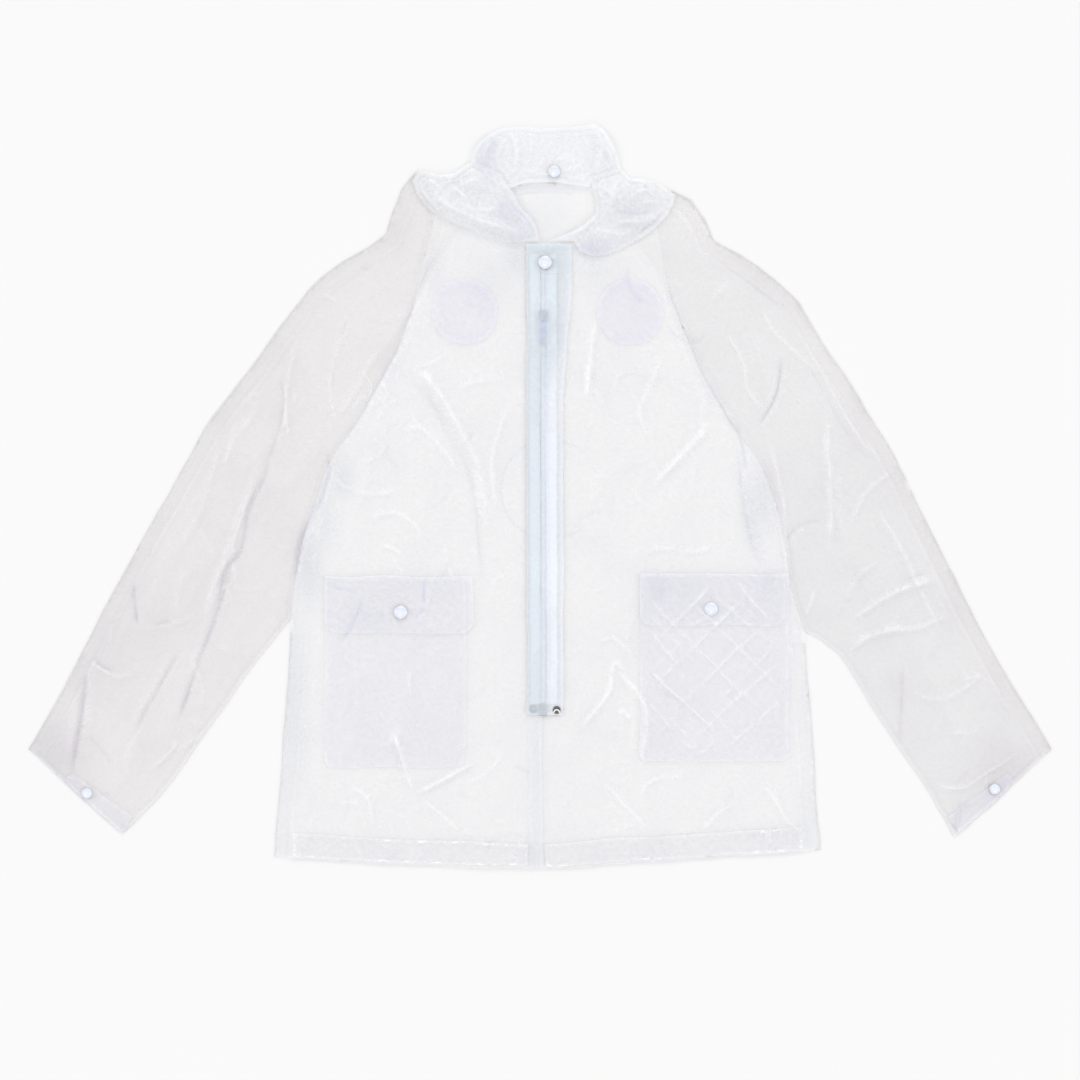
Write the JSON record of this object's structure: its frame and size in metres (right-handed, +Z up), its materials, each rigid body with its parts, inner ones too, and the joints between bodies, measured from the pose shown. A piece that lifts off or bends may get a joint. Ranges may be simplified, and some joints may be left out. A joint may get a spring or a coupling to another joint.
{
  "type": "clear rain jacket",
  "caption": "Hooded clear film rain jacket laid flat, front up: raglan sleeves, zip under a storm flap, snapped patch pockets, round chest patches and a collapsed hood.",
  "frame": {"origin": "on the surface that the jacket lies on, under the middle of its whole width and length", "axes": "+X towards the wearer's left sleeve, +Y from hem to hood, +Z up off the surface, out of the front"},
  "size_m": [1.2276, 0.8941, 0.0153],
  "materials": {
    "film": "soft clear film, glossy, creased",
    "lilac_film": "soft clear film in double layers, glossy",
    "blue_film": "soft clear film over the zip, glossy",
    "zip_plastic": "moulded, satin",
    "snap_plastic": "moulded, glossy",
    "bright_metal": "bright"
  },
  "bodies": {
    "root": {"back": "film", "front_right": "film", "front_left": "film", "sleeve_front_right": "film", "sleeve_back_right": "film", "sleeve_front_left": "film", "sleeve_back_left": "film", "hood_right": "film", "hood_crown": "film", "hood_left": "film", "hem_front_right": "film", "hem_front_left": "film", "hem_back": "film", "pocket_right": "lilac_film", "pocket_left": "lilac_film", "pocket_flap_right": "lilac_film", "pocket_flap_left": "lilac_film", "round_patch_right": "lilac_film", "round_patch_left": "lilac_film", "cuff_tab_right": "lilac_film", "cuff_tab_left": "lilac_film", "neck_band": "lilac_film", "storm_flap": "blue_film", "neck_tab": "blue_film", "front_lap": "blue_film", "zip_tape_right": "blue_film", "zip_tape_left": "blue_film", "zip_chain": "zip_plastic", "zip_slider": "zip_plastic", "zip_pull": "zip_plastic", "zip_box": "zip_plastic", "snap_neck": "snap_plastic", "snap_hood_back": "snap_plastic", "snap_pocket_right": "snap_plastic", "snap_pocket_left": "snap_plastic", "snap_cuff_right": "snap_plastic", "snap_cuff_left": "snap_plastic", "rivet_right": "bright_metal", "rivet_left": "bright_metal"}
  },
  "joints": []
}
